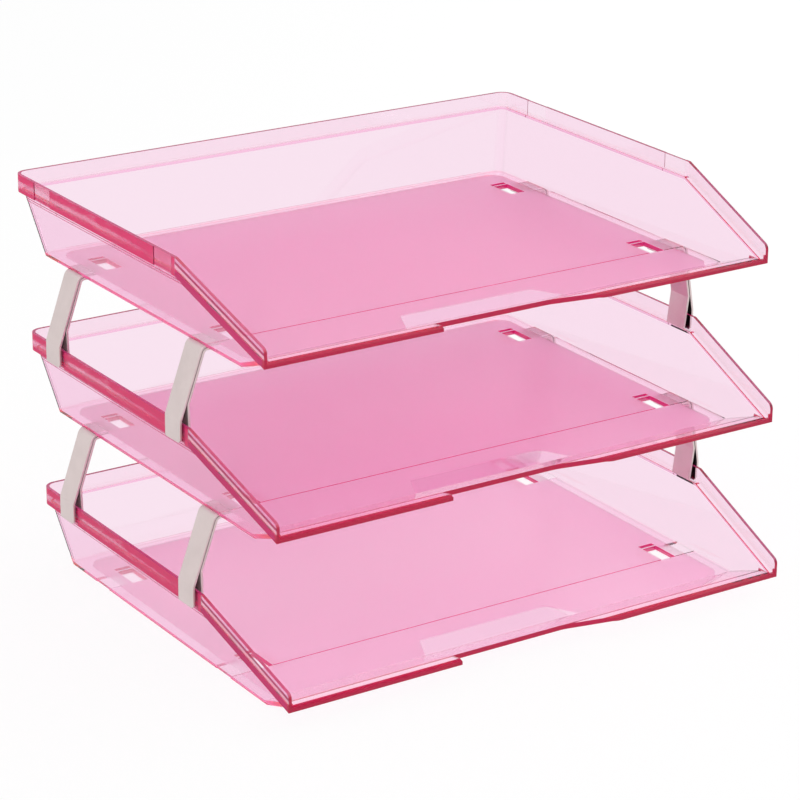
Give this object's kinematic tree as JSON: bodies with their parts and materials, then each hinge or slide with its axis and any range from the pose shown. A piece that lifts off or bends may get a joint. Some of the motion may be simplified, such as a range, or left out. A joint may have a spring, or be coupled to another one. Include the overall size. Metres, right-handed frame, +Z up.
{
  "type": "letter tray stack",
  "caption": "Stack of open landscape letter trays in clear tinted plastic, carried one above another on folded steel strip risers.",
  "frame": {"origin": "middle of the footprint, on the surface the bottom tray stands on", "axes": "+X across the trays to the right, -Y towards the open front, +Z up"},
  "size_m": [0.3658, 0.304, 0.2455],
  "materials": {
    "tinted_plastic": "clear tinted, base frosted underneath",
    "riser_steel": "satin strip"
  },
  "bodies": {
    "base_level": {"bottom_tray": "tinted_plastic"},
    "middle_level": {"middle_tray": "tinted_plastic", "lower_left_front_riser": "riser_steel", "lower_left_back_riser": "riser_steel", "lower_right_front_riser": "riser_steel", "lower_right_back_riser": "riser_steel"},
    "top_level": {"top_tray": "tinted_plastic", "upper_left_front_riser": "riser_steel", "upper_left_back_riser": "riser_steel", "upper_right_front_riser": "riser_steel", "upper_right_back_riser": "riser_steel"}
  },
  "joints": [
    {"name": "middle_level_lift", "type": "slide", "parent": "base_level", "child": "middle_level", "axis": [0, 0, 1], "range_m": [0, 0.03]},
    {"name": "top_level_lift", "type": "slide", "parent": "middle_level", "child": "top_level", "axis": [0, 0, 1], "range_m": [0, 0.03]}
  ]
}
